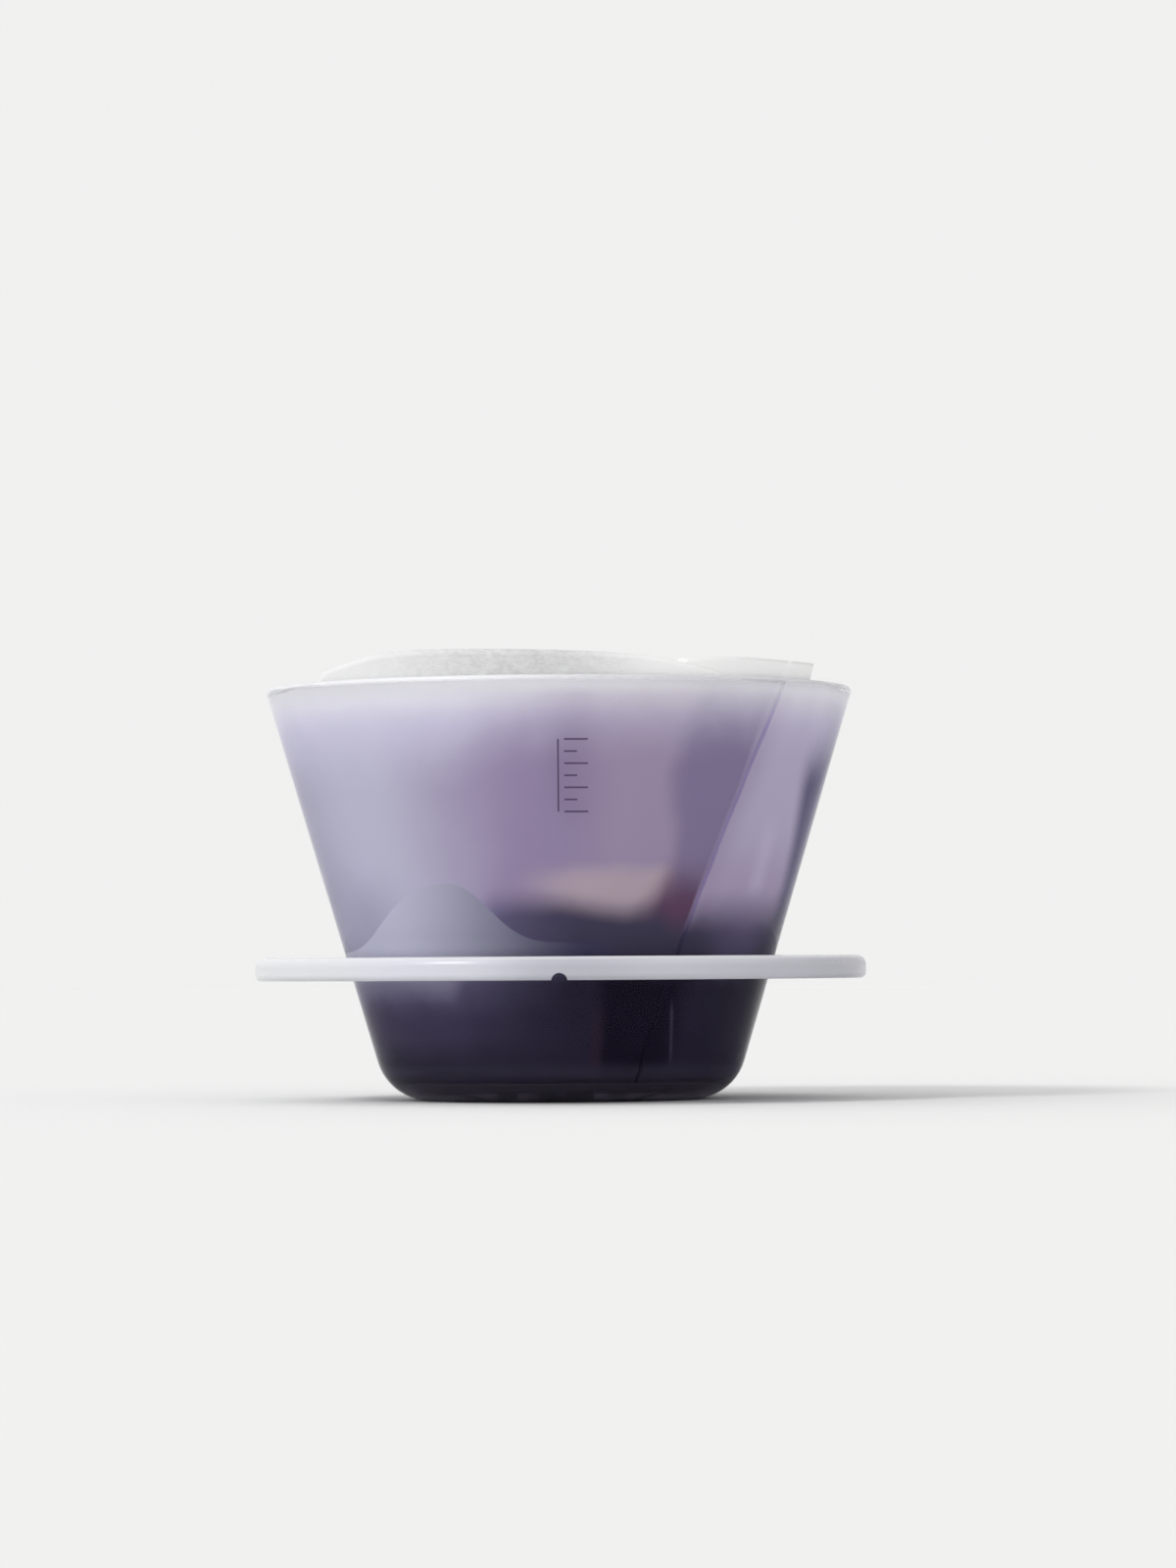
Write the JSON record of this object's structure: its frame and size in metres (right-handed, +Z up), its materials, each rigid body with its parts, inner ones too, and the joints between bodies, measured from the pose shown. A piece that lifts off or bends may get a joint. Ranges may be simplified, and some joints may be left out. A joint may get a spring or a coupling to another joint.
{
  "type": "pour-over coffee dripper",
  "caption": "Translucent tapered coffee dripper cone with a flat drained floor, standing in a flat carrying ring, with a paper filter and a bed of wet grounds inside.",
  "frame": {"origin": "centre of the cone's flat base, at the lowest point of the dripper", "axes": "+Z up along the axis of the cone, -Y towards the front with the printed mark and one vent groove, +X to the right seen from the front"},
  "size_m": [0.1174, 0.1174, 0.084],
  "materials": {
    "cone": "milky translucent, glossy, moulded",
    "ring": "milky translucent, satin gloss, moulded",
    "paper": "bleached filter paper, matt, wet below",
    "grounds": "wet granular bed"
  },
  "bodies": {
    "ring": {"ring": "ring"},
    "cone": {"cone": "cone"},
    "filter": {"paper_filter": "paper", "coffee_grounds": "grounds"}
  },
  "joints": [
    {"name": "cone_lift", "type": "slide", "parent": "ring", "child": "cone", "axis": [0, 0, 1], "range_m": [0, 0.045]},
    {"name": "filter_lift", "type": "slide", "parent": "cone", "child": "filter", "axis": [0, 0, 1], "range_m": [0, 0.09]}
  ]
}
